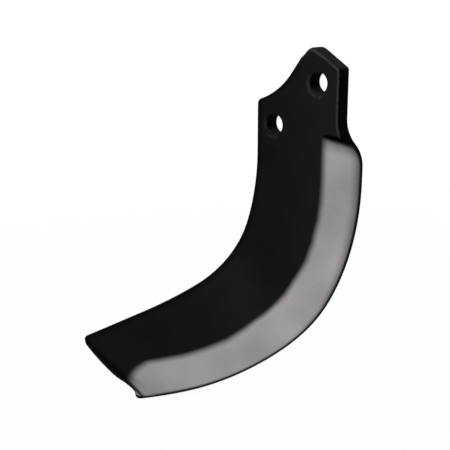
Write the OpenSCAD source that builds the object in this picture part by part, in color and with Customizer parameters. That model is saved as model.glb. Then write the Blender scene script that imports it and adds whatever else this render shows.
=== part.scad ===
// Rotary tiller blade, left hand, in millimetres.
// A flat bar is forged out below its two bolt holes, bevelled along the
// outer edge of its front face, and bent over towards the front.
// X runs across the shank, Z runs up it, and the seat lies in the plane y = 0.
// The origin is on the seat, midway between the two holes.

/* [Bar] */
// Thickness of the bar at the shank
bar_t = 10; // [8:0.5:13]
// Width of the shank
shank_w = 63.2; // [52.5:0.1:75.2]
// Distance from the middle of the holes to the left edge of the shank
left_margin = 31.3; // [26:0.1:37.2]
// Radius of the rounded front edges
edge_r = 1.2; // [0.6:0.1:1.5]
// Radius of the rounded back edges
back_r = 0.6; // [0.4:0.1:1.2]

/* [Bolt holes] */
// Diameter of each hole
hole_d = 13.5; // [10:0.5:17]
// Distance between the two hole centres
hole_pitch = 44; // [36:0.5:53]
// Slope of the line through the two holes, in degrees
hole_slope = 40; // [32:1:48]
// Depth of the countersink that breaks each hole rim
rim_break = 0.3; // [0.2:0.1:0.8]

/* [Top of the shank] */
// Height of the top right corner above the middle of the holes
corner_h = 23.4; // [19.4:0.2:28]
// Radius of the top right corner
corner_r = 2.5; // [1.5:0.5:4]
// Fall of the top edge towards the right, in degrees
top_slope = 31.8; // [26:0.2:38]
// Place across the shank where the sharp peak would be
peak_x = 9.6; // [8:0.2:11.4]
// Radius that rounds the peak
peak_r = 7; // [5.8:0.1:8.4]
// Steepness of the left side just below the peak, in degrees
cut_slope = 53.5; // [44:0.5:63.5]
// Straight length from the sharp peak down to the hollow cut
cut_run = 20.8; // [17:0.2:25]
// Radius of the hollow cut that clears the rotor tube
cut_r = 56; // [46:1:67]
// Radius of the left corner
left_r = 4; // [3:0.1:5]

/* [Shoulder] */
// Height where the right side starts to flare, below the holes' middle
neck_drop = 6.5; // [5:0.5:8]
// Width that the shoulder adds to the right of the shank
shoulder_w = 12.4; // [10.3:0.1:14.8]
// Radius of the hollow neck
neck_r = 20; // [16:0.5:24]
// Radius of the round shoulder
shoulder_r = 18; // [14:0.5:22]

/* [Inner edge] */
// Depth below the holes' middle where the inner edge starts to curve
inner_drop = 32.5; // [27:0.5:39]
// Radius of the inner edge
inner_r = 139; // [115:1:166]
// Angle of the inner arc, in degrees
inner_turn = 47.4; // [39:0.2:57]
// Straight length from the inner arc to the tip
inner_run = 85.6; // [71:0.2:102]
// Radius of the inner corner of the tip
inner_tip_r = 3; // [2:0.5:5]

/* [Outer edge] */
// Depth below the holes' middle where the outer edge starts to curve
outer_drop = 43; // [36:0.5:52]
// Radius of the first outer arc
outer_r = 168; // [139:1:200]
// Angle of the first outer arc, in degrees
outer_turn = 44.9; // [37:0.1:54]
// Radius of the second, flatter outer arc
sweep_r = 276; // [229:1:329]
// Angle of the second outer arc, in degrees
sweep_turn = 20.8; // [17.2:0.1:24.8]
// Rounding of the end of the tip, as its height over a straight end
tip_bow = 2; // [0:0.2:4]
// Radius of the outer corner of the tip
outer_tip_r = 3.5; // [2.5:0.1:5]

/* [Bevel] */
// Width of the bevel along the outer edge
bevel_w = 23; // [19:0.5:27]
// Thickness left at the cutting edge
edge_t = 1.5; // [1.2:0.1:2.5]
// Depth below the holes' middle where the bevel starts
bevel_drop = 16.5; // [13.5:0.5:20]
// Length over which the bevel's upper end runs out
runout = 2.8; // [2:0.2:4]
// Width that the bevel loses at the tip
tip_loss = 12; // [9:0.5:14]
// Length over which the bevel narrows at the tip
tip_fade = 15; // [12:0.5:18]

/* [Bend] */
// Angle of the bend, in degrees
bend_angle = 60; // [50:1:72]
// Radius of the bend at the middle of the thickness
bend_r = 100; // [83:1:119]
// Distance from the origin to the start of the bend
bend_start = 88.2; // [73:0.2:105]
// Lean of the bend's direction from straight down, in degrees
bend_lean = 38; // [31:1:45]
// Thickness at the tip, where the bar has been drawn out
tip_t = 7.5; // [6:0.5:9]
// Distance from the origin where the drawing out starts
taper_start = 60; // [50:1:72]

/* [Hidden] */
CLEAR = 1;

right_x = shank_w - left_margin;
edge_x = right_x + shoulder_w;

// Columns across the plain front and across the bevel, steps round a corner
// and along the curved edges, and how far the inner edge's steps lag behind
PLAIN = 8;
GROUND = 4;
CORNER = 5;
EDGE_STEPS = 40;
LAG = 0.55;
COLS = PLAIN + GROUND;
RING = 2 * (COLS + 1) + 8;

function mix(a, b, f) = a + (b - a) * f;
function clamp(v, low, high) = max(low, min(high, v));
function unit(v) = v / norm(v);

// Headings turn from straight down towards -X. Points are [x, z].
function ahead(h) = [-sin(h), -cos(h)];
function outward(h) = [cos(h), -sin(h)];

// A guide point is [point, heading], and these two move it on.
function run(g, length) = [g[0] + ahead(g[1]) * length, g[1]];
function arc(g, r, turn) =
    [g[0] + sign(turn) * r * (outward(g[1] + turn) - outward(g[1])), g[1] + turn];

// Rounded peak, between the sloping top and the hollow cut
peak = [peak_x, corner_h + (right_x - peak_x) * tan(top_slope)];
peak_tangent = peak_r * tan((cut_slope + top_slope) / 2);
peak_mid = peak + [cos(top_slope), -sin(top_slope)] * peak_tangent
    - [sin(top_slope), cos(top_slope)] * peak_r;
peak_gap = 6;
cut_heading = 90 - cut_slope;
top_heading = top_slope - 90;
cut_from = [peak + ahead(cut_heading) * peak_tangent, cut_heading];
top_from = [peak + ahead(top_heading) * peak_tangent, top_heading];
cut_length = cut_run - peak_tangent;

// Hollow cut, turned until its corner is tangent to the left edge
hollow_from = run(cut_from, cut_length);
hollow_end = acos((cut_r * cos(cut_heading) + left_r - left_margin - hollow_from[0][0])
    / (cut_r + left_r));
left_from = arc(hollow_from, cut_r, hollow_end - cut_heading);
inner_from = arc(left_from, left_r, -hollow_end);

// Sloping top, down to the corner above the right edge
corner_tangent = corner_r * tan(-top_heading / 2);
top_length = (right_x - peak_x) / cos(top_slope) - peak_tangent - corner_tangent;
right_from = arc(run(top_from, top_length), corner_r, -top_heading);

// Flare of the right side at a given height, as a guide point
flare_turn = acos(1 - shoulder_w / (neck_r + shoulder_r));
neck_h = neck_r * sin(flare_turn);
flare_h = (neck_r + shoulder_r) * sin(flare_turn);
function flare(z) =
    let(d = -neck_drop - z, rest = flare_h - d)
    d <= 0 ? [[right_x, z], 0]
    : d < neck_h ? [[right_x + neck_r - sqrt(neck_r * neck_r - d * d), z], -asin(d / neck_r)]
    : d < flare_h ? [[edge_x - shoulder_r + sqrt(shoulder_r * shoulder_r - rest * rest), z],
        -asin(rest / shoulder_r)]
    : [[edge_x, z], 0];
shoulder_z = -neck_drop - flare_h;

// Inner edge and outer edge at a distance s from the end of the shoulder
inner_top = -inner_drop;
inner_arc = inner_r * inner_turn * PI / 180;
function inner_edge(s) =
    let(g = [[-left_margin, inner_top], 0])
    s < inner_arc ? arc(g, inner_r, s / inner_r * 180 / PI)
    : run(arc(g, inner_r, inner_turn), s - inner_arc);
outer_lead = shoulder_z + outer_drop;
outer_arc = outer_r * outer_turn * PI / 180;
sweep_arc = sweep_r * sweep_turn * PI / 180;
function outer_edge(s) =
    let(g = [[edge_x, shoulder_z], 0], a = run(g, outer_lead),
        rest = s - outer_lead)
    rest <= 0 ? run(g, s)
    : rest < outer_arc ? arc(a, outer_r, rest / outer_r * 180 / PI)
    : arc(arc(a, outer_r, outer_turn), sweep_r, (rest - outer_arc) / sweep_r * 180 / PI);

// End line of the tip, from the inner corner to the outer one
inner_length = inner_arc + inner_run;
outer_length = outer_lead + outer_arc + sweep_arc;
inner_corner = inner_edge(inner_length);
outer_corner = outer_edge(outer_length);
end_dir = unit(outer_corner[0] - inner_corner[0]);
end_heading = atan2(-end_dir[0], -end_dir[1]);
inner_tip_turn = inner_corner[1] - end_heading;
outer_tip_turn = end_heading + 180 - outer_corner[1];
tip_lift = atan(4 * tip_bow / norm(outer_corner[0] - inner_corner[0]));
inner_reach = inner_length - inner_tip_r * tan(inner_tip_turn / 2);
outer_reach = outer_length - outer_tip_r * tan(outer_tip_turn / 2);

// Bend and taper, both counted along the direction that leans from straight down
bend_dir = ahead(bend_lean);
bend_axis = [bend_dir[1], -bend_dir[0]];
tip_reach = outer_corner[0] * bend_dir;
function full_t(p) =
    mix(bar_t, tip_t, clamp((p * bend_dir - taper_start) / (tip_reach - taper_start), 0, 1));
function folded(p, h) =
    let(q = p * bend_dir - bend_start, s = p * bend_axis, off = h - bar_t / 2,
        a = clamp(q / bend_r * 180 / PI, 0, bend_angle),
        past = q - a * PI / 180 * bend_r,
        along = bend_start + bend_r * sin(a) + past * cos(a) - off * sin(a),
        down = bend_r * (1 - cos(a)) + past * sin(a) + off * cos(a),
        flat = bend_dir * along + bend_axis * s)
    [flat[0], -bar_t / 2 - down, flat[1]];

// A station is [inner guide, outer guide, bevel border, share of the bevel that
// is cut there, slant of the section to the outer edge, bow towards the end]
function blank_station(l, r) =
    let(f = min((edge_x - bevel_w - l[0][0]) / (r[0][0] - l[0][0]), 0.8))
    [l, r, mix(l[0], r[0], f), 0, 1, 0];
function shank_station(l, r, level) =
    let(x = edge_x - bevel_w,
        z = mix(l[0][1], r[0][1], (x - l[0][0]) / (r[0][0] - l[0][0])))
    [l, r, [x, mix(z, r[0][1], level)], clamp((-bevel_drop - r[0][1]) / runout, 0, 1), 1, 0];
function blade_station(l, r, edge) =
    let(d = unit(r[0] - l[0]), slant = d * outward(edge[1]),
        from_end = abs((outer_corner[0] - r[0]) * end_out),
        w = bevel_w - tip_loss * pow(clamp(1 - from_end / tip_fade, 0, 1), 1.5),
        inside = (edge[0] - r[0]) * outward(edge[1]))
    [l, r, r[0] - d * (w - inside) / slant, 1, slant,
        tip_bow * pow(clamp(1 - from_end / (8 * tip_bow + 1), 0, 1), 2)];
end_out = -outward(end_heading);

left_length = inner_from[0][1] + inner_drop;
stations = concat(peak_stations(), top_stations(), corner_stations(), side_stations(),
    edge_stations(), tip_stations());

function peak_stations() = [for (i = [0 : CORNER - 1])
    let(l = mix(90 - peak_gap, cut_heading, i / CORNER),
        r = mix(peak_gap - 90, top_heading, i / CORNER))
    blank_station([peak_mid - outward(l) * peak_r, l], [peak_mid + outward(r) * peak_r, r])];

// The hollow cut and the right side, each at a share of its length
function hollow(f) = arc(hollow_from, cut_r, (hollow_end - cut_heading) * f);
function right_side(f) = flare(mix(right_from[0][1], -neck_drop, f));

function top_stations() = concat(
    [for (f = [0 : 0.34 : 0.99])
        blank_station(run(cut_from, cut_length * f), run(top_from, top_length * f / 2))],
    [for (f = [0 : 0.2 : 0.99])
        blank_station(hollow(0.45 * f), run(top_from, top_length * mix(0.5, 1, f)))]);

// Round the right corner, then down the right side while the left corner is rounded
function corner_stations() = concat(
    [for (i = [0 : CORNER - 1])
        blank_station(hollow(mix(0.45, 0.6, i / CORNER)),
            arc(run(top_from, top_length), corner_r, -top_heading * i / CORNER))],
    [for (f = [0 : 0.25 : 0.99])
        shank_station(hollow(mix(0.6, 1, f)), right_side(0.55 * f), 0)],
    [for (i = [0 : CORNER - 1])
        shank_station(arc(left_from, left_r, -hollow_end * i / CORNER),
            right_side(mix(0.55, 0.75, i / CORNER)), 0)]);

// Down the straight side, the neck, the bevel's upper end and the shoulder
function side_stations() =
    let(levels = [right_side(0.75)[0][1], -neck_drop, -bevel_drop, -bevel_drop - runout, shoulder_z],
        steps = [4, 6, 2, 8])
    [for (k = [0 : 3]) for (i = [0 : steps[k] - 1])
        let(z = mix(levels[k], levels[k + 1], i / steps[k]),
            f = (levels[0] - z) / (levels[0] - shoulder_z))
        shank_station(run(inner_from, left_length * f), flare(z), k > 0 ? 1 : i / steps[0])];

function edge_stations() = [for (i = [0 : EDGE_STEPS])
    let(f = i / EDGE_STEPS, r = outer_edge(outer_reach * f))
    blade_station(inner_edge(inner_reach * mix(f, f * f, LAG)), r, r)];

function tip_stations() = [for (i = [1 : CORNER])
    let(f = i / CORNER)
    blade_station(arc(inner_edge(inner_reach), inner_tip_r, (tip_lift - inner_tip_turn) * f),
        arc(outer_edge(outer_reach), outer_tip_r, (outer_tip_turn - tip_lift) * f),
        outer_corner)];

// Height of the front face over the seat, before the bend
function front_h(s, p, ground) =
    let(t = full_t(p), depth = (t - edge_t) / bevel_w * norm(p - s[2]) * s[4])
    ground ? t - depth * s[3] : t;

// Columns across a section, from the inner edge to the outer edge: [place, front
// height, corner radius]. A radius of edge_r or back_r gives the flat faces' rims
// and 0 gives the walls. The thin cutting edge is rounded less.
function rim(s, radius) = min(radius, 0.3 * front_h(s, s[1][0], true));
function column(s, c, radius) =
    let(ground = c > PLAIN,
        u = ground ? (c - PLAIN) / GROUND : c / PLAIN,
        out_l = -outward(s[0][1]), out_r = outward(s[1][1]),
        d = unit(s[1][0] - s[0][0]), out = mix(out_l, out_r, 0.6),
        l = s[0][0] - out_l * radius,
        r = s[1][0] - out_r * rim(s, radius),
        b = s[2] - (out - d * (out * d)) * radius,
        q = ground ? mix(b, r, u) : mix(l, b, u),
        share = norm(s[2] - s[0][0]) / norm(s[1][0] - s[0][0]),
        t = ground ? mix(share, 1, u) : share * u,
        p = q + end_out * s[5] * 4 * t * (1 - t))
    [p, front_h(s, p, ground)];

// The four points that round a wall beside a column, from the front to the back
HALF = 1 - cos(45);
function wall(s, c, out) =
    let(q = column(s, c, 0), p = q[0], h = q[1],
        u = c > PLAIN ? (c - PLAIN) / GROUND : 0,
        f = mix(edge_r, rim(s, edge_r), u), b = mix(back_r, rim(s, back_r), u))
    [folded(p - out * f * HALF, h - f * HALF), folded(p, h - f),
        folded(p, b), folded(p - out * b * HALF, b * HALF)];
function reversed(list) = [for (i = [len(list) - 1 : -1 : 0]) list[i]];

// One closed ring of points round each station
function ring(s) = concat(
    [for (c = [0 : COLS]) let(q = column(s, c, edge_r)) folded(q[0], q[1])],
    wall(s, COLS, outward(s[1][1])),
    [for (c = [COLS : -1 : 0]) folded(column(s, c, back_r)[0], 0)],
    reversed(wall(s, 0, -outward(s[0][1]))));

// Wall points that close an end, column by column between the two sides
function end_wall(s, out) = [for (c = [1 : COLS - 1]) each wall(s, c, out)];
function end_index(c, level, ring_at, wall_at) =
    level == 0 ? ring_at + c
    : level == 5 ? ring_at + 2 * COLS + 5 - c
    : c == 0 ? ring_at + RING - level
    : c == COLS ? ring_at + COLS + level
    : wall_at + 4 * (c - 1) + level - 1;

module blade_body() {
    last = len(stations) - 1;
    rings = [for (s = stations) each ring(s)];
    top_wall = len(rings);
    tip_wall = top_wall + 4 * (COLS - 1);
    sides = [for (k = [0 : last - 1]) for (i = [0 : RING - 1])
        let(a = k * RING + i, b = k * RING + (i + 1) % RING)
        each [[a, b, b + RING], [a, b + RING, a + RING]]];
    ends = [for (c = [0 : COLS - 1]) for (j = [0 : 4]) let(
        t = [for (v = [[c, j], [c + 1, j], [c + 1, j + 1], [c, j + 1]])
            end_index(v[0], v[1], 0, top_wall)],
        e = [for (v = [[c, j], [c, j + 1], [c + 1, j + 1], [c + 1, j]])
            end_index(v[0], v[1], last * RING, tip_wall)])
        each [[t[0], t[2], t[1]], [t[0], t[3], t[2]], [e[0], e[2], e[1]], [e[0], e[3], e[2]]]];
    polyhedron(concat(rings, end_wall(stations[0], [0, 1]), end_wall(stations[last], end_out)),
        concat(sides, ends), convexity = 6);
}

// A bolt hole through the thickness, with both rims broken
module bolt_hole() {
    rim_d = hole_d + 2 * rim_break;
    rotate([90, 0, 0]) {
        translate([0, 0, -CLEAR]) cylinder(h = bar_t + 2 * CLEAR, d = hole_d, $fn = 96);
        translate([0, 0, -CLEAR])
            cylinder(h = rim_break + CLEAR, d1 = rim_d + 2 * CLEAR, d2 = hole_d, $fn = 96);
        translate([0, 0, bar_t - rim_break])
            cylinder(h = rim_break + CLEAR, d1 = hole_d, d2 = rim_d + 2 * CLEAR, $fn = 96);
    }
}

module tiller_blade() {
    color("#1d1d1f") difference() {
        blade_body();
        for (side = [-1, 1])
            translate([cos(hole_slope), 0, sin(hole_slope)] * side * hole_pitch / 2) bolt_hole();
    }
}

tiller_blade();
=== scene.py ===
from math import acos, atan, atan2, cos, degrees, pi, radians, sin, sqrt, tan

import bmesh
import bpy
from mathutils import Matrix, Vector


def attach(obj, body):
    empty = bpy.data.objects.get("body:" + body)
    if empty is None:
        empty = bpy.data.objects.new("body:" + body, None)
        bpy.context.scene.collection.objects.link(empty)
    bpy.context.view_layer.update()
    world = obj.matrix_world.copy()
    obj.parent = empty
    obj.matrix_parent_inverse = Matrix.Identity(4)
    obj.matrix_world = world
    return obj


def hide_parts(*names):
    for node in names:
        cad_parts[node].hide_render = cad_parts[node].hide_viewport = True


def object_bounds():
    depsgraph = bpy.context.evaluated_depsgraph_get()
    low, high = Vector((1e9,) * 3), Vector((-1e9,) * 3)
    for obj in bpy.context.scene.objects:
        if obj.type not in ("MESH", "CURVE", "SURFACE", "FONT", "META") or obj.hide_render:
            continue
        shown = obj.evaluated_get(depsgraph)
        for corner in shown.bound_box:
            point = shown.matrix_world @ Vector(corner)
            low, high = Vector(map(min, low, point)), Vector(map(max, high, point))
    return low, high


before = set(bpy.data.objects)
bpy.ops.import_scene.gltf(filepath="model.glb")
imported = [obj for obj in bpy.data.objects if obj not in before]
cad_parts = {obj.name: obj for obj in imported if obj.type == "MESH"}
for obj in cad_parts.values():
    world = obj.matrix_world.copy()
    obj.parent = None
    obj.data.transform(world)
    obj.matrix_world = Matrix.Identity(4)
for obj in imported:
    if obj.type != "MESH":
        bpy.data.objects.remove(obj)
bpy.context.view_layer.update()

# The blank of the blade: a flat steel bar, 10 mm thick, that is forged out below the
# two bolt holes. It is drawn here before its bevel and its bend, as sections that run
# from the hollow inner edge to the cutting edge. Lengths are in millimetres.
BAR = 10.0
SHANK = 63.2
LEFT = -31.3
RIGHT = LEFT + SHANK
FACE_ROUND, PEAK_FACE_ROUND, INNER_ROUND, BACK_ROUND = 2.35, 3.4, 1.0, 0.5
EDGE_SHARE = 0.35
HOLE_PITCH, HOLE_SLOPE = 44.0, 40.0
CORNER_HEIGHT, CORNER_ROUND, TOP_SLOPE = 23.4, 2.5, 31.8
PEAK_X, PEAK_ROUND = 9.4, 7.5
CUT_SLOPE, CUT_RUN, CUT_RADIUS, LEFT_ROUND = 53.5, 22.1, 52.0, 4.0
NECK_DROP, SHOULDER, NECK_RADIUS, SHOULDER_RADIUS = 6.5, 12.4, 20.0, 18.0
INNER_DROP, INNER_RADIUS, INNER_TURN, INNER_RUN, INNER_CORNER = 32.5, 139.0, 47.4, 85.6, 3.0
OUTER_DROP, OUTER_RADIUS, OUTER_TURN = 43.0, 168.0, 44.9
SWEEP_RADIUS, SWEEP_TURN, TIP_BOW, OUTER_CORNER = 276.0, 20.8, 2.0, 4.0
TIP_LIP, TIP_DIP = 3.0, 1.0
BEVEL, EDGE_THICKNESS, BEVEL_DROP, RUNOUT = 23.0, 1.5, 16.5, 2.8
TIP_LOSS, TIP_FADE, CREASE = 12.0, 15.0, 1.6
BEND_ANGLE, BEND_RADIUS, BEND_START, LEAN = 60.0, 100.0, 88.2, 38.0
TIP_THICKNESS, DRAWN_FROM = 7.5, 60.0
EDGE_X = RIGHT + SHOULDER


def mix(a, b, share):
    return a + (b - a) * share


def limit(value):
    return max(0.0, min(1.0, value))


def ease(value):
    value = limit(value)
    return value * value * (3 - 2 * value)


def ahead(heading):
    """The direction of an outline that turns from straight down towards -X."""
    return Vector((-sin(radians(heading)), -cos(radians(heading))))


def outward(heading):
    return Vector((cos(radians(heading)), -sin(radians(heading))))


def run(guide, length):
    return guide[0] + ahead(guide[1]) * length, guide[1]


def arc(guide, radius, turn):
    side = 1 if turn > 0 else -1
    step = outward(guide[1] + turn) - outward(guide[1])
    return guide[0] + step * (side * radius), guide[1] + turn


def shares(count):
    return [i / count for i in range(count)]


# Top of the shank, from the rounded peak down both sides
cut_heading, top_heading = 90 - CUT_SLOPE, TOP_SLOPE - 90
peak = Vector((PEAK_X, CORNER_HEIGHT + (RIGHT - PEAK_X) * tan(radians(TOP_SLOPE))))
peak_tangent = PEAK_ROUND * tan(radians((CUT_SLOPE + TOP_SLOPE) / 2))
top_along = Vector((cos(radians(TOP_SLOPE)), -sin(radians(TOP_SLOPE))))
peak_middle = peak + top_along * peak_tangent + Vector((top_along.y, -top_along.x)) * PEAK_ROUND
cut_from = (peak + ahead(cut_heading) * peak_tangent, cut_heading)
top_from = (peak + ahead(top_heading) * peak_tangent, top_heading)
cut_length = CUT_RUN - peak_tangent
hollow_from = run(cut_from, cut_length)
hollow_end = degrees(acos((CUT_RADIUS * cos(radians(cut_heading)) + LEFT_ROUND + LEFT
                           - hollow_from[0].x) / (CUT_RADIUS + LEFT_ROUND)))
left_from = arc(hollow_from, CUT_RADIUS, hollow_end - cut_heading)
inner_from = arc(left_from, LEFT_ROUND, -hollow_end)
corner_tangent = CORNER_ROUND * tan(radians(-top_heading / 2))
top_length = (RIGHT - PEAK_X) / cos(radians(TOP_SLOPE)) - peak_tangent - corner_tangent
corner_from = run(top_from, top_length)
right_from = arc(corner_from, CORNER_ROUND, -top_heading)

# Right side, with the hollow neck and the round shoulder
flare_turn = acos(1 - SHOULDER / (NECK_RADIUS + SHOULDER_RADIUS))
neck_height = NECK_RADIUS * sin(flare_turn)
flare_height = (NECK_RADIUS + SHOULDER_RADIUS) * sin(flare_turn)
shoulder_z = -NECK_DROP - flare_height


def right_side(z):
    drop = -NECK_DROP - z
    rest = flare_height - drop
    if drop <= 0:
        return Vector((RIGHT, z)), 0.0
    if drop < neck_height:
        x = RIGHT + NECK_RADIUS - sqrt(NECK_RADIUS ** 2 - drop ** 2)
        return Vector((x, z)), -degrees(atan2(drop, sqrt(NECK_RADIUS ** 2 - drop ** 2)))
    if drop < flare_height:
        x = EDGE_X - SHOULDER_RADIUS + sqrt(SHOULDER_RADIUS ** 2 - rest ** 2)
        return Vector((x, z)), -degrees(atan2(rest, sqrt(SHOULDER_RADIUS ** 2 - rest ** 2)))
    return Vector((EDGE_X, z)), 0.0


# Long edges, each by its distance from the end of the shoulder
inner_arc = INNER_RADIUS * radians(INNER_TURN)
outer_lead = shoulder_z + OUTER_DROP
outer_arc = OUTER_RADIUS * radians(OUTER_TURN)
sweep_arc = SWEEP_RADIUS * radians(SWEEP_TURN)


def inner_edge(distance):
    start = (Vector((LEFT, -INNER_DROP)), 0.0)
    if distance < inner_arc:
        return arc(start, INNER_RADIUS, degrees(distance / INNER_RADIUS) + 1e-9)
    return run(arc(start, INNER_RADIUS, INNER_TURN), distance - inner_arc)


def outer_edge(distance):
    start = (Vector((EDGE_X, shoulder_z)), 0.0)
    if distance <= outer_lead:
        return run(start, distance)
    bent = run(start, outer_lead)
    rest = distance - outer_lead
    if rest < outer_arc:
        return arc(bent, OUTER_RADIUS, degrees(rest / OUTER_RADIUS))
    bent = arc(bent, OUTER_RADIUS, OUTER_TURN)
    return arc(bent, SWEEP_RADIUS, degrees((rest - outer_arc) / SWEEP_RADIUS) + 1e-9)


# End of the tip, a line from the inner corner to the outer one
inner_length = inner_arc + INNER_RUN
outer_length = outer_lead + outer_arc + sweep_arc
inner_corner, outer_corner = inner_edge(inner_length), outer_edge(outer_length)
end_along = (outer_corner[0] - inner_corner[0]).normalized()
end_heading = degrees(atan2(-end_along.x, -end_along.y))
end_out = -outward(end_heading)
inner_tip_turn = inner_corner[1] - end_heading
outer_tip_turn = end_heading + 180 - outer_corner[1]
tip_lift = degrees(atan(4 * TIP_BOW / (outer_corner[0] - inner_corner[0]).length))
inner_reach = inner_length - INNER_CORNER * tan(radians(inner_tip_turn / 2))
outer_reach = outer_length - OUTER_CORNER * tan(radians(outer_tip_turn / 2))
drawn_to = outer_corner[0] @ ahead(LEAN)


class Section:
    """One line across the blank, from a guide on the inner side to one on the outer."""

    def __init__(self, inner, outer, border=None, ground=0.0, slant=1.0, bow=0.0, edge=0.0):
        self.inner, self.outer = inner, outer
        self.ground, self.slant, self.bow, self.edge = ground, slant, bow, edge
        self.unmarked = border is None
        if border is None:
            span = outer[0].x - inner[0].x
            border = mix(inner[0], outer[0], min((EDGE_X - BEVEL - inner[0].x) / span, 0.8))
        self.border = border
        self.inner_round, self.outer_round = INNER_ROUND, FACE_ROUND


def shank_section(inner, outer, level):
    x = EDGE_X - BEVEL
    z = mix(inner[0].y, outer[0].y, (x - inner[0].x) / (outer[0].x - inner[0].x))
    cut = ease((-BEVEL_DROP - outer[0].y) / RUNOUT)
    return Section(inner, outer, Vector((x, mix(z, outer[0].y, level))), cut)


def blade_section(inner, outer, reference, edge):
    along = (outer[0] - inner[0]).normalized()
    slant = along @ outward(reference[1])
    from_end = abs((outer_corner[0] - outer[0]) @ end_out)
    width = BEVEL - TIP_LOSS * limit(1 - from_end / TIP_FADE) ** 1.5
    inside = (reference[0] - outer[0]) @ outward(reference[1])
    bow = limit(1 - from_end / (8 * TIP_BOW + 1)) ** 2
    border = outer[0] - along * ((width - inside) / slant)
    return Section(inner, outer, border, 1.0, slant, bow, edge)


left_length = inner_from[0].y + INNER_DROP


def hollow(share):
    return arc(hollow_from, CUT_RADIUS, (hollow_end - cut_heading) * share + 1e-9)


def beside(share):
    return right_side(mix(right_from[0].y, -NECK_DROP, share))


PEAK_GAP, PEAK_STEPS, SLOPE_STEPS = 6, 12, 16
sections = []
for f in shares(PEAK_STEPS):
    left, right = mix(90 - PEAK_GAP, cut_heading, f), mix(PEAK_GAP - 90, top_heading, f)
    sections.append(Section((peak_middle - outward(left) * PEAK_ROUND, left),
                            (peak_middle + outward(right) * PEAK_ROUND, right)))
for f in shares(SLOPE_STEPS):
    sections.append(Section(run(cut_from, cut_length * f), run(top_from, top_length * f / 2)))
for f in shares(10):
    sections.append(Section(hollow(0.45 * f), run(top_from, top_length * mix(0.5, 1, f))))
for f in shares(12):
    sections.append(Section(hollow(mix(0.45, 0.6, f)),
                            arc(corner_from, CORNER_ROUND, -top_heading * f)))
for f in shares(8):
    sections.append(shank_section(hollow(mix(0.6, 1, f)), beside(0.55 * f), 0))
for f in shares(12):
    sections.append(shank_section(arc(left_from, LEFT_ROUND, -hollow_end * f - 1e-9),
                                  beside(mix(0.55, 0.75, f)), 0))
levels = [beside(0.75)[0].y, -NECK_DROP, -BEVEL_DROP, -BEVEL_DROP - RUNOUT, shoulder_z]
for part, steps in enumerate((6, 12, 14, 14)):
    for f in shares(steps):
        height = mix(levels[part], levels[part + 1], f)
        down = (levels[0] - height) / (levels[0] - shoulder_z)
        sections.append(shank_section(run(inner_from, left_length * down), right_side(height),
                                      1 if part else f))
EDGE_STEPS, LAG = 190, 0.55
for i in range(EDGE_STEPS + 1):
    f = i / EDGE_STEPS
    outer = outer_edge(outer_reach * f)
    inner = inner_edge(inner_reach * mix(f, f * f, LAG))
    sections.append(blade_section(inner, outer, outer, outer_reach * f))
for i in range(1, 13):
    f = i / 12
    sections.append(blade_section(
        arc(inner_edge(inner_reach), INNER_CORNER, (tip_lift - inner_tip_turn) * f),
        arc(outer_edge(outer_reach), OUTER_CORNER, (outer_tip_turn - tip_lift) * f),
        outer_corner, outer_reach))

# The front edge is rounded most at the peak, and least down the left side
for number, section in enumerate(sections[:PEAK_STEPS + SLOPE_STEPS]):
    past_peak = (number - PEAK_STEPS) / SLOPE_STEPS
    section.inner_round = mix(PEAK_FACE_ROUND, INNER_ROUND, ease(past_peak * 3.2))
    section.outer_round = mix(PEAK_FACE_ROUND, FACE_ROUND, ease(past_peak))

# Columns across a section: shares of the plain front, then shares of the bevel
PLAIN = (0, 0.008, 0.022, 0.05, 0.1, 0.17, 0.26, 0.36, 0.47, 0.58, 0.68, 0.77, 0.85, 0.91,
         0.95, 0.975, 0.99)
GROUND = (0, 0.03, 0.06, 0.1, 0.16, 0.24, 0.34, 0.45, 0.56, 0.67, 0.77, 0.86, 0.93, 0.97,
          0.99, 1)
COLUMNS = [(False, u) for u in PLAIN] + [(True, u) for u in GROUND]
LAST = len(COLUMNS) - 1
ROUND_STEPS = 6
WALL_SHARES = (0.96, 0.5, 0.04)


def local_thickness(place):
    reach = place @ ahead(LEAN)
    return mix(BAR, TIP_THICKNESS, limit((reach - DRAWN_FROM) / (drawn_to - DRAWN_FROM)))


def grind_distance(section, place, on_bevel):
    """How far a point is past the soft crease where the bevel starts."""
    away = (place - section.border).length * section.slant * (1 if on_bevel else -1)
    return 0.5 * (away + sqrt(away * away + CREASE * CREASE)) * section.ground, away


def front_height(section, place, on_bevel):
    thickness = local_thickness(place)
    slope = (thickness - EDGE_THICKNESS) / BEVEL
    return max(thickness - slope * grind_distance(section, place, on_bevel)[0], 1.2)


def edge_round(section, radius):
    return min(radius, EDGE_SHARE * front_height(section, section.outer[0], True))


def end_shape(share):
    """How far the end of the tip stands out: a slow bow, a dip, then a lip at the edge."""
    bow = TIP_BOW * 4 * share * (1 - share)
    dip = TIP_DIP * ease((share - 0.55) / 0.2) * ease((0.93 - share) / 0.12)
    return bow - dip, TIP_LIP * ease((share - 0.88) / 0.12)


def share_across(section, column):
    on_bevel, u = COLUMNS[column]
    share = ((section.border - section.inner[0]).length
             / (section.outer[0] - section.inner[0]).length)
    return mix(share, 1, u) if on_bevel else share * u


def column_place(section, column, inner_radius, outer_radius):
    on_bevel, u = COLUMNS[column]
    inner_out, outer_out = -outward(section.inner[1]), outward(section.outer[1])
    along = (section.outer[0] - section.inner[0]).normalized()
    out = mix(inner_out, outer_out, 0.6)
    low = section.inner[0] - inner_out * inner_radius
    high = section.outer[0] - outer_out * edge_round(section, outer_radius)
    share = share_across(section, column)
    if section.unmarked:
        place = mix(low, high, share)
    else:
        middle = section.border - (out - along * (out @ along)) * inner_radius
        place = mix(middle, high, u) if on_bevel else mix(low, middle, u)
    bow, lip = end_shape(share)
    return place + (end_out * bow + ahead(outer_corner[1]) * lip) * section.bow


points, facts = [], []


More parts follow.
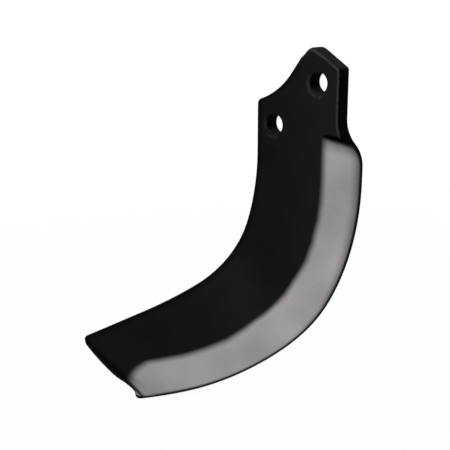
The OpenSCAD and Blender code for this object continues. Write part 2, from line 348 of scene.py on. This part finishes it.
def add_point(section, column, place, thickness, front, wall):
    """Adds one point of the flat blank. front is 1 at the front face and 0 at the back."""
    on_bevel = COLUMNS[column][0]
    cut, away = grind_distance(section, place, on_bevel)
    from_edge = (section.outer[0] - place).length * section.slant
    from_end = abs((outer_corner[0] - place) @ end_out)
    from_inner = (section.inner[0] - place).length
    if section.ground == 0 and section.edge == 0:
        past_runout = -RUNOUT - BEVEL_DROP - place.y
    else:
        past_runout = -RUNOUT - BEVEL_DROP - section.outer[0].y if section.edge == 0 else 99.0
    points.append((place.x / 1000, -thickness / 1000, place.y / 1000))
    facts.append((cut, front, wall, away, past_runout, from_edge, from_inner, from_end,
                  section.edge))
    return len(points) - 1


def wall_points(section, column, out):
    """Points down a wall beside a column: rounded, straight, then rounded again."""
    place = column_place(section, column, 0, 0)
    on_bevel, u = COLUMNS[column]
    u = u if on_bevel else 0
    height = front_height(section, place, on_bevel)
    upper = mix(section.inner_round, edge_round(section, section.outer_round), u)
    lower = mix(BACK_ROUND, edge_round(section, BACK_ROUND), u)
    made = []
    for i in range(1, ROUND_STEPS + 1):
        turn = pi / 2 * i / ROUND_STEPS
        at = place - out * (upper * (1 - sin(turn)))
        made.append(add_point(section, column, at, BAR - upper * (1 - cos(turn)), 1, sin(turn)))
    for share in WALL_SHARES:
        made.append(add_point(section, column, place,
                              mix(lower, BAR - upper, share), share, 1))
    for i in range(ROUND_STEPS):
        turn = pi / 2 * (1 - i / ROUND_STEPS)
        at = place - out * (lower * (1 - sin(turn)))
        made.append(add_point(section, column, at, lower * (1 - cos(turn)), 0, sin(turn)))
    return made


rings, fronts, backs, walls = [], [], [], []
for number, section in enumerate(sections):
    front = [add_point(section, c, column_place(section, c, section.inner_round,
                                                section.outer_round), BAR, 1, 0)
             for c in range(LAST + 1)]
    back = [add_point(section, c, column_place(section, c, BACK_ROUND, BACK_ROUND), 0, 0, 0)
            for c in range(LAST + 1)]
    outer_wall = wall_points(section, LAST, outward(section.outer[1]))
    inner_wall = wall_points(section, 0, -outward(section.inner[1]))
    rings.append(front + outer_wall + back[::-1] + inner_wall[::-1])
    fronts.append(front)
    backs.append(back)
    walls.append((inner_wall, outer_wall))

quads = []
size = len(rings[0])
for a, b in zip(rings, rings[1:]):
    quads += [(a[i], a[(i + 1) % size], b[(i + 1) % size], b[i]) for i in range(size)]
for at in (0, -1):
    section = sections[at]
    strips = [walls[at][0]]
    for c in range(1, LAST):
        out = mix(-outward(section.inner[1]), outward(section.outer[1]), share_across(section, c))
        strips.append(wall_points(section, c, out))
    strips.append(walls[at][1])
    strips = [[fronts[at][c]] + strip + [backs[at][c]] for c, strip in enumerate(strips)]
    for a, b in zip(strips, strips[1:]):
        quads += [(a[i], a[i + 1], b[i + 1], b[i]) for i in range(len(a) - 1)]

blank = bpy.data.meshes.new("blade_blank")
blank.from_pydata(points, [], quads)
FACTS = ("cut", "front", "wall", "away", "past_runout", "from_edge", "from_inner", "from_end",
         "edge_run")
for name, values in zip(FACTS, zip(*facts)):
    layer = blank.attributes.new(name, "FLOAT", "POINT")
    layer.data.foreach_set("value", values)
work = bmesh.new()
work.from_mesh(blank)
bmesh.ops.recalc_face_normals(work, faces=work.faces)
work.to_mesh(blank)
work.free()

# The bolt holes: two 13.5 mm holes for M12 bolts, punched through the flat shank with
# both rims rounded over. The punch is turned from its half outline, and the forging
# below sets one at each hole.
HOLE_RADIUS, RIM, RIM_STOP = 6.45, 0.3, 75
half_outline = [(0.0, -0.6), (9.4, -0.6)]
rim_middle = HOLE_RADIUS + RIM
for i in range(7):
    turn = radians(RIM_STOP * (1 - i / 6))
    half_outline.append((rim_middle - RIM * cos(turn), RIM - RIM * sin(turn)))
half_outline[1] = (half_outline[2][0] + (half_outline[2][1] + 0.6) / tan(radians(90 - RIM_STOP)),
                   -0.6)
half_outline += [(r, BAR - y) for r, y in half_outline[::-1]]
punch = bpy.data.meshes.new("hole_punch")
TURNS = 96
turned = [(0.0, -half_outline[0][1] / 1000, 0.0), (0.0, -half_outline[-1][1] / 1000, 0.0)]
turned += [(r * cos(2 * pi * k / TURNS) / 1000, -y / 1000, r * sin(2 * pi * k / TURNS) / 1000)
           for r, y in half_outline[1:-1] for k in range(TURNS)]
rows = len(half_outline) - 2
faces = [(2 + row * TURNS + k, 2 + row * TURNS + (k + 1) % TURNS,
          2 + (row + 1) * TURNS + (k + 1) % TURNS, 2 + (row + 1) * TURNS + k)
         for row in range(rows - 1) for k in range(TURNS)]
faces += [(0, 2 + (k + 1) % TURNS, 2 + k) for k in range(TURNS)]
faces += [(1, 2 + (rows - 1) * TURNS + k, 2 + (rows - 1) * TURNS + (k + 1) % TURNS)
          for k in range(TURNS)]
punch.from_pydata(turned, [], faces)
work = bmesh.new()
work.from_mesh(punch)
bmesh.ops.recalc_face_normals(work, faces=work.faces)
work.to_mesh(punch)
work.free()
hole_punch = bpy.data.objects.new("hole_punch", punch)
bpy.context.scene.collection.objects.link(hole_punch)


class Wire:
    """A socket of a node tree. Arithmetic on it adds the nodes for it."""

    def __init__(self, tree, socket):
        self.tree, self.socket = tree, socket

    def node(self, kind, settings=None, sockets=None, out=0):
        """Adds a node: its settings first, then the values or wires of its sockets."""
        made = self.tree.nodes.new(kind)
        for name, value in (settings or {}).items():
            if name == "stops":
                ramp = made.color_ramp
                while len(ramp.elements) < len(value):
                    ramp.elements.new(0.5)
                for stop, (place, shade) in zip(ramp.elements, value):
                    stop.position, stop.color = place, (shade, shade, shade, 1)
            else:
                setattr(made, name, value)
        for name, value in (sockets or {}).items():
            if isinstance(value, Wire):
                self.tree.links.new(value.socket, made.inputs[name])
            else:
                made.inputs[name].default_value = value
        return Wire(self.tree, made.outputs[out])

    def math(self, operation, *values):
        return self.node("ShaderNodeMath", {"operation": operation},
                         dict(enumerate((self,) + values)))

    def vector(self, operation, *values, out=0):
        return self.node("ShaderNodeVectorMath", {"operation": operation},
                         dict(enumerate((self,) + values)), out)

    def __add__(self, other):
        return self.math("ADD", other)

    __radd__ = __add__

    def __mul__(self, other):
        return self.math("MULTIPLY", other)

    __rmul__ = __mul__

    def __sub__(self, other):
        return self.math("SUBTRACT", other)

    def __rsub__(self, other):
        return (self * -1.0).math("ADD", other)

    def __truediv__(self, other):
        return self.math("DIVIDE", other)


# Forging and bending: the flat blank is punched, drawn out thinner towards the tip,
# ground to a bevel along the front of its outer edge, and bent over a round former.
# One tree does all four, so each size of the work is one of its inputs.
forge = bpy.data.node_groups.new("forge_and_bend", "GeometryNodeTree")
FORGE_SIZES = {
    "Bar thickness": BAR / 1000, "Tip thickness": TIP_THICKNESS / 1000,
    "Drawn from": DRAWN_FROM / 1000, "Drawn to": drawn_to / 1000,
    "Edge thickness": EDGE_THICKNESS / 1000, "Bevel width": BEVEL / 1000,
    "Bend start": BEND_START / 1000, "Bend radius": BEND_RADIUS / 1000,
    "Bend angle": radians(BEND_ANGLE), "Lean": radians(LEAN),
    "Hole pitch": HOLE_PITCH / 1000, "Hole slope": radians(HOLE_SLOPE),
}
identifiers = {}
forge.interface.new_socket("Blank", in_out="INPUT", socket_type="NodeSocketGeometry")
for name in FORGE_SIZES:
    made = forge.interface.new_socket(name, in_out="INPUT", socket_type="NodeSocketFloat")
    identifiers[name] = made.identifier
for name, kind in (("Punch", "Object"), ("Finish", "Material")):
    made = forge.interface.new_socket(name, in_out="INPUT", socket_type="NodeSocket" + kind)
    identifiers[name] = made.identifier
forge.interface.new_socket("Blade", in_out="OUTPUT", socket_type="NodeSocketGeometry")
inputs, outputs = forge.nodes.new("NodeGroupInput"), forge.nodes.new("NodeGroupOutput")
given = {s.name: Wire(forge, s) for s in inputs.outputs if s.name}
body = given["Blank"]

pitch, slope = given["Hole pitch"], given["Hole slope"]
across = body.node("ShaderNodeCombineXYZ", {}, {"X": slope.math("COSINE") * pitch,
                                                "Z": slope.math("SINE") * pitch})
holes = body.node("GeometryNodeMeshLine", {"mode": "OFFSET"},
                  {"Count": 2, "Start Location": across.vector("MULTIPLY", (-0.5, -0.5, -0.5)),
                   "Offset": across})
tool = body.node("GeometryNodeObjectInfo", {}, {"Object": given["Punch"]}, "Geometry")
tools = body.node("GeometryNodeInstanceOnPoints", {}, {"Points": holes, "Instance": tool})
tools = body.node("GeometryNodeRealizeInstances", {}, {"Geometry": tools})
body = body.node("GeometryNodeMeshBoolean", {"operation": "DIFFERENCE", "solver": "EXACT"},
                 {"Mesh 1": body, "Mesh 2": tools})

place = body.node("GeometryNodeInputPosition")
bar, bend_start, bend_radius = (given[k] for k in ("Bar thickness", "Bend start", "Bend radius"))
sine, cosine = given["Lean"].math("SINE"), given["Lean"].math("COSINE")
reach_way = body.node("ShaderNodeCombineXYZ", {}, {"X": sine * -1.0, "Z": cosine * -1.0})
side_way = body.node("ShaderNodeCombineXYZ", {}, {"X": cosine * -1.0, "Z": sine})
reach = place.vector("DOT_PRODUCT", reach_way, out="Value")
aside = place.vector("DOT_PRODUCT", side_way, out="Value")
height = place.node("ShaderNodeSeparateXYZ", {}, {0: place}, "Y") * -1.0


def fact(name):
    return body.node("GeometryNodeInputNamedAttribute", {"data_type": "FLOAT"},
                     {"Name": name}, "Attribute")


def scaled(way, length):
    return way.node("ShaderNodeVectorMath", {"operation": "SCALE"}, {0: way, "Scale": length})


drawn = (reach - given["Drawn from"]) / (given["Drawn to"] - given["Drawn from"])
thinner = drawn.math("MAXIMUM", 0.0).math("MINIMUM", 1.0) * (bar - given["Tip thickness"])
left_over = bar - thinner - given["Edge thickness"]
taken_off = left_over / given["Bevel width"] * fact("cut") * 0.001
height = height - (thinner + taken_off) * fact("front")
offset = height - bar * 0.5
past_start = reach - bend_start
turn = (past_start / bend_radius).math("MAXIMUM", 0.0).math("MINIMUM", given["Bend angle"])
past_bend = past_start - turn * bend_radius
turn_sine, turn_cosine = turn.math("SINE"), turn.math("COSINE")
along = bend_start + (bend_radius - offset) * turn_sine + past_bend * turn_cosine
down = bend_radius * (1.0 - turn_cosine) + past_bend * turn_sine + offset * turn_cosine
level = body.node("ShaderNodeCombineXYZ", {}, {"Y": (down + bar * 0.5) * -1.0})
bent = scaled(reach_way, along).vector("ADD", scaled(side_way, aside)).vector("ADD", level)
body = body.node("GeometryNodeSetPosition", {}, {"Geometry": body, "Position": bent})
body = body.node("GeometryNodeRealizeInstances", {}, {"Geometry": body})
body = body.node("GeometryNodeSetMaterial", {}, {"Geometry": body, "Material": given["Finish"]})
forge.links.new(body.socket, outputs.inputs["Blade"])

# The finish: black satin paint all over, except on the bevel, which is left as bare
# ground steel with a soft border where the paint fades out. The sheared walls are duller
# than the faces and get painted shade, and rounded edges get a painted highlight, partly wear.
finish = bpy.data.materials.new("black_paint_and_ground_steel")
finish.use_nodes = True
finish.node_tree.nodes.clear()
tree = finish.node_tree
surface = tree.nodes.new("ShaderNodeOutputMaterial")
coordinates = tree.nodes.new("ShaderNodeTexCoord")
spot = Wire(tree, coordinates.outputs["Object"])


def marked(name):
    return spot.node("ShaderNodeAttribute", {"attribute_name": name}, {}, "Fac")


def noise(scale, detail=3.0, rough=0.5, at=None):
    return spot.node("ShaderNodeTexNoise", {},
                     {"Vector": at or spot, "Scale": scale, "Detail": detail,
                      "Roughness": rough}, "Fac")


def smooth(value, low, high):
    return value.node("ShaderNodeMapRange", {"interpolation_type": "SMOOTHSTEP"},
                      {"Value": value, "From Min": low, "From Max": high}, "Result")


def tint(share, dark, light):
    return share.node("ShaderNodeMix", {"data_type": "RGBA"},
                      {"Factor": share, 6: (*dark, 1), 7: (*light, 1)}, 2)


wander = (noise(90.0) - 0.5) * 1.4
away, past_runout = marked("away"), marked("past_runout")
edge_run, wall = marked("edge_run"), marked("wall")
# Painted light: the bare steel is painted lighter, and a little warmer, along the middle of the edge than
# near the shank and the tip
middle_painted_light = smooth(edge_run, 8.0, 75.0) * (1.0 - smooth(edge_run, 105.0, 160.0) * 0.62)
swell = smooth(edge_run, 72.0, 98.0) * 1.9 - smooth(edge_run, 140.0, 175.0) * 1.9 - 0.6
fade_border = smooth(away + wander + swell, -2.6, 3.2)
start = past_runout + 2.2 - away * 0.22
fade_runout = smooth(start + wander * 0.4, -0.2, 3.4) * (smooth(start, 1.5, 10.0) * 0.4 + 0.6)
# Painted shade: the bare steel darkens into black over the last few millimetres before the cutting edge
edge_reach = 7.0 - smooth(edge_run, 40.0, 150.0) * 4.5
edge_painted_shade_fade = smooth(marked("from_edge") / edge_reach, -0.3, 1.0)
from_end = marked("from_end")
softness = smooth(marked("from_edge"), 3.0, 13.0) * 0.5
fade_end = smooth(from_end + wander, -0.4, 2.2) * (1.0 - softness) + (
    smooth(from_end, 0.5, 8.0) * softness)
on_front = smooth(marked("front") - wall, 0.05, 0.5)
# A dark line right along the edge, partly paint left there and partly painted shade
lip = smooth(marked("from_edge"), 0.5, 1.7)
bare = fade_border * fade_runout * (edge_painted_shade_fade * 0.8 + 0.2) * lip * fade_end * on_front
rounded = wall * (1.0 - wall) * 4.0

grain = spot.node("ShaderNodeCombineXYZ", {},
                  {"X": edge_run * 0.9, "Y": marked("from_edge") * 0.06})
scratches = noise(1.0, 4.0, 0.65, at=grain)
cloud = noise(28.0, 2.0, 0.45)
patches = smooth(cloud + (scratches - 0.5) * 0.35, 0.3, 0.7)
# A shaded and a lit copy of the steel, both with random patches, mixed by that painted light
shaded_cool_steel = tint(patches, (0.215, 0.213, 0.213), (0.272, 0.268, 0.268))
lit_warm_steel = tint(patches, (0.315, 0.3, 0.304), (0.39, 0.37, 0.374))
steel = middle_painted_light.node("ShaderNodeMix", {"data_type": "RGBA"},
                           {"Factor": middle_painted_light, 6: shaded_cool_steel, 7: lit_warm_steel}, 2)
mottle = noise(60.0, 4.0, 0.6)
across = spot.node("ShaderNodeSeparateXYZ", {}, {0: spot}, "X") * 1000.0
level = spot.node("ShaderNodeSeparateXYZ", {}, {0: spot}, "Z") * 1000.0
# Painted shade: the paint is darker, and its coat thinner, towards the inner edge and the tip's end; painted
# light makes the black lighter towards the right, besides its random mottle
inside = smooth(marked("from_inner"), -1.5, 7.0) * smooth(from_end, -1.0, 4.5)
inside = inside.math("MAXIMUM", smooth(level, 17.0, 27.0))
paint = tint((mottle * 0.7 + smooth(across, -20.0, 30.0) * 0.45) * inside,
             (0.0012, 0.0012, 0.0012), (0.0072, 0.0072, 0.0074))

# Walls get painted shade, nearly dead black with drag streaks, and painted light where they face up
facing = Wire(tree, coordinates.outputs["Normal"])
facing_up = facing.node("ShaderNodeSeparateXYZ", {}, {0: facing}, "Z")
facing_right = facing.node("ShaderNodeSeparateXYZ", {}, {0: facing}, "X")
above_neck = 1.0 - smooth(across, RIGHT + 0.3, RIGHT + 2.5)
streaks = spot.node("ShaderNodeVectorMath", {"operation": "MULTIPLY"},
                    {0: spot, 1: (900.0, 60.0, 900.0)})
drag = noise(1.0, 3.0, 0.6, at=streaks)
shaded_wall = tint(smooth(drag, 0.45, 0.75), (0.0002, 0.0002, 0.0002), (0.0016, 0.0016, 0.0016))
lit_up_wall = tint(noise(330.0, 3.0, 0.65), (0.004, 0.004, 0.0041), (0.028, 0.028, 0.0286))
painted_top_light = smooth(facing_up, 0.2, 0.8) * above_neck
wall_painted_shade_and_light = painted_top_light.node("ShaderNodeMix", {"data_type": "RGBA"},
                       {"Factor": painted_top_light, 6: shaded_wall, 7: lit_up_wall}, 2)
# Painted shade on the run-out step at the top of the bevel, which faces down
step = smooth(past_runout, -RUNOUT - 0.4, 0.2 - RUNOUT) * smooth(away, -1.0, 2.5) * (
    1.0 - smooth(start, -0.6, 1.0)) * smooth(marked("front"), 0.3, 0.9)
shade = (smooth(wall, 0.5, 0.95)).math("MAXIMUM", step)
paint = shade.node("ShaderNodeMix", {"data_type": "RGBA"},
                   {"Factor": shade, 6: paint, 7: wall_painted_shade_and_light}, 2)
# Painted highlight: rounded edges that face up or right are lighter, partly wear of the paint, but not at
# the neck or the tip's end
lit_side = smooth(facing_up + facing_right, 0.1, 0.6) * above_neck
edge_wear_and_painted_highlight = smooth(rounded + (noise(420.0, 3.0, 0.6) - 0.5) * 0.7, 0.45, 1.25) * lit_side * 0.85
edge_wear_and_painted_highlight = edge_wear_and_painted_highlight * smooth(from_end, 2.0, 7.0)
# Painted highlight: a light, mottled ring below and left of each hole's rim
flat_spot = spot.vector("MULTIPLY", (1.0, 0.0, 1.0))
for side in (-1, 1):
    middle = Vector((cos(radians(HOLE_SLOPE)), 0, sin(radians(HOLE_SLOPE)))) * (
        side * HOLE_PITCH / 2000)
    outwards = flat_spot.vector("SUBTRACT", tuple(middle))
    past_rim = outwards.vector("LENGTH", out="Value") * 1000.0 - (HOLE_RADIUS + RIM)
    below_left = smooth(outwards.vector("DOT_PRODUCT", (-80.0, 0.0, -80.0), out="Value"), 0.0, 0.8)
    rim_painted_highlight = smooth(past_rim, 3.4, 1.3) * smooth(past_rim, -0.2, 1.2) * below_left
    edge_wear_and_painted_highlight = edge_wear_and_painted_highlight.math("MAXIMUM", rim_painted_highlight * smooth(noise(330.0, 3.0, 0.65), 0.3, 0.7) * 0.5)
paint = edge_wear_and_painted_highlight.node("ShaderNodeMix", {"data_type": "RGBA"},
                  {"Factor": edge_wear_and_painted_highlight, 6: paint, 7: (0.05, 0.05, 0.05, 1)}, 2)
colour = bare.node("ShaderNodeMix", {"data_type": "RGBA"}, {"Factor": bare, 6: paint, 7: steel}, 2)
speckle = noise(1400.0, 2.0, 0.5)
skin = speckle * (1.0 - bare) * 0.5 + drag * wall * 1.2 + scratches * bare * 0.35 + cloud * 0.3
bump = spot.node("ShaderNodeBump", {}, {"Strength": 0.25, "Distance": 0.0002, "Height": skin},
                 "Normal")
roughness = 0.42 + (mottle - 0.5) * 0.16 + wall * 0.2 + bare * (scratches * 0.1 - 0.02)
shader = spot.node("ShaderNodeBsdfPrincipled", {}, {
    "Base Color": colour, "Metallic": bare * 0.8, "Roughness": roughness,
    "Specular IOR Level": 0.006, "Coat Weight": (1.0 - bare) * (1.0 - shade) * (inside * 0.85 + 0.15) * 0.06,
    "Coat Roughness": 0.36, "Normal": bump})
tree.links.new(shader.socket, surface.inputs["Surface"])

# The finished blade, which stands for the plain one of the frame
blade = bpy.data.objects.new("forged_blade", blank)
bpy.context.scene.collection.objects.link(blade)
hammer = blade.modifiers.new("forge", "NODES")
hammer.node_group = forge
for name, value in FORGE_SIZES.items():
    hammer[identifiers[name]] = value
hammer[identifiers["Punch"]] = hole_punch
hammer[identifiers["Finish"]] = finish
bpy.context.view_layer.update()
made = bpy.data.meshes.new_from_object(blade.evaluated_get(
    bpy.context.evaluated_depsgraph_get()))
blade.modifiers.remove(hammer)
work = bmesh.new()
work.from_mesh(made)
bmesh.ops.dissolve_degenerate(work, dist=2e-6, edges=work.edges)
work.to_mesh(made)
work.free()
blade.data = made
made.name = "forged_blade"
bpy.data.objects.remove(hole_punch)

# Faces are smooth, with a sharp ring where each flat face meets a hole's rim
made.shade_smooth()
hole_centres = [Vector((cos(radians(HOLE_SLOPE)), sin(radians(HOLE_SLOPE)))) * side
                * HOLE_PITCH / 2000 for side in (-1, 1)]
rim_radius = (rim_middle - RIM * cos(radians(RIM_STOP))) / 1000
wall_layer = made.attributes["wall"].data
for point in made.vertices:
    from_axis = min((Vector((point.co.x, point.co.z)) - c).length for c in hole_centres)
    if from_axis < rim_radius - 1e-6:
        depth = (rim_radius - from_axis) / (rim_radius - HOLE_RADIUS / 1000)
        wall_layer[point.index].value = limit(depth)
sharp = made.attributes.new("sharp_edge", "BOOLEAN", "EDGE")
for edge in made.edges:
    ends = [made.vertices[i].co for i in edge.vertices]
    flat = all(abs(p.y) < 2e-6 or abs(p.y + BAR / 1000) < 2e-6 for p in ends)
    if flat and all(min((Vector((p.x, p.z)) - c).length for c in hole_centres)
                    < rim_radius + 0.0004 for p in ends):
        sharp.data[edge.index].value = True
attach(blade, "root")
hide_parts("tiller_blade")

# The studio: a plain white floor under the blade, soft lamps in front and above, and
# a bright world that shows white behind it.
low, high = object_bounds()
floor_mesh = bpy.data.meshes.new("studio_floor")
REACH = 30.0
floor_mesh.from_pydata([(-REACH, -REACH, 0), (REACH, -REACH, 0), (REACH, REACH, 0),
                        (-REACH, REACH, 0)], [], [(0, 1, 2, 3)])
floor = bpy.data.objects.new("studio_floor", floor_mesh)
floor.location = (0, 0, low.z - 0.0005)
bpy.context.scene.collection.objects.link(floor)
pale = bpy.data.materials.new("pale_floor")
pale.use_nodes = True
pale.node_tree.nodes.clear()
tree = pale.node_tree
path = tree.nodes.new("ShaderNodeLightPath")
seen = Wire(tree, path.outputs["Is Camera Ray"])
seen = seen.math("MAXIMUM", Wire(tree, path.outputs["Is Glossy Ray"]))
seen = seen.math("MAXIMUM", Wire(tree, path.outputs["Is Transmission Ray"]))
matt = seen.node("ShaderNodeBsdfDiffuse", {}, {"Color": (0.9, 0.9, 0.9, 1)})
white = seen.node("ShaderNodeEmission", {}, {"Color": (1, 1, 1, 1), "Strength": 1.0})
ground = Wire(tree, tree.nodes.new("ShaderNodeTexCoord").outputs["Object"])
outskirts = smooth(ground.vector("LENGTH", out="Value"), 0.25, 0.7)
mixed = seen.node("ShaderNodeMixShader", {}, {0: seen * (outskirts * 0.035 + 0.965), 1: matt,
                                              2: white})
end = tree.nodes.new("ShaderNodeOutputMaterial")
tree.links.new(mixed.socket, end.inputs["Surface"])
floor_mesh.materials.append(pale)

world = bpy.data.worlds.new("studio_world")
bpy.context.scene.world = world
world.use_nodes = True
world.node_tree.nodes.clear()
tree = world.node_tree
path = tree.nodes.new("ShaderNodeLightPath")
seen = Wire(tree, path.outputs["Is Camera Ray"])
seen = seen.math("MAXIMUM", Wire(tree, path.outputs["Is Glossy Ray"]))
seen = seen.math("MAXIMUM", Wire(tree, path.outputs["Is Transmission Ray"]))
glow = seen.node("ShaderNodeBackground", {}, {"Color": (1, 1, 1, 1),
                                              "Strength": seen * 0.4 + 0.6})
end = tree.nodes.new("ShaderNodeOutputWorld")
tree.links.new(glow.socket, end.inputs["Surface"])

# Camera, level with the photograph's view of the shank
AZIMUTH, ELEVATION = radians(43), radians(15)
DISTANCE, FOCAL, IMAGE = 0.55954, 900.0, 450.0
ORIGIN_AT = (305.39, 102.31)
right_way = Vector((cos(AZIMUTH), sin(AZIMUTH), 0))
back_way = Vector((sin(AZIMUTH) * cos(ELEVATION), -cos(AZIMUTH) * cos(ELEVATION),
                   sin(ELEVATION)))
up_way = back_way.cross(right_way)
middle = (IMAGE - 1) / 2
camera = bpy.data.objects.new("camera", bpy.data.cameras.new("camera"))
camera.data.sensor_width = 36
camera.data.lens = FOCAL / IMAGE * 36
camera.data.clip_start, camera.data.clip_end = 0.01, 50
spread = DISTANCE / FOCAL
camera.location = (back_way * DISTANCE + right_way * ((middle - ORIGIN_AT[0]) * spread)
                   - up_way * ((middle - ORIGIN_AT[1]) * spread))
camera.rotation_mode = "QUATERNION"
camera.rotation_quaternion = Matrix((right_way, up_way, back_way)).transposed().to_quaternion()
bpy.context.scene.collection.objects.link(camera)
bpy.context.scene.camera = camera

centre = (low + high) / 2
LAMPS = {
    "key_lamp": ((-0.15, -1.0, 1.1), 2.2, 7.0),
    "front_lamp": ((-0.15, -1.35, 0.0), 1.2, 7.0),
}
for name, (offset_from, width, power) in LAMPS.items():
    lamp = bpy.data.lights.new(name, "AREA")
    lamp.shape, lamp.size, lamp.energy = "DISK", width, power
    stand = bpy.data.objects.new(name, lamp)
    stand.location = centre + Vector(offset_from)
    stand.rotation_mode = "QUATERNION"
    stand.rotation_quaternion = Vector(offset_from).to_track_quat("Z", "Y")
    bpy.context.scene.collection.objects.link(stand)

bpy.context.scene.view_settings.view_transform = "Standard"
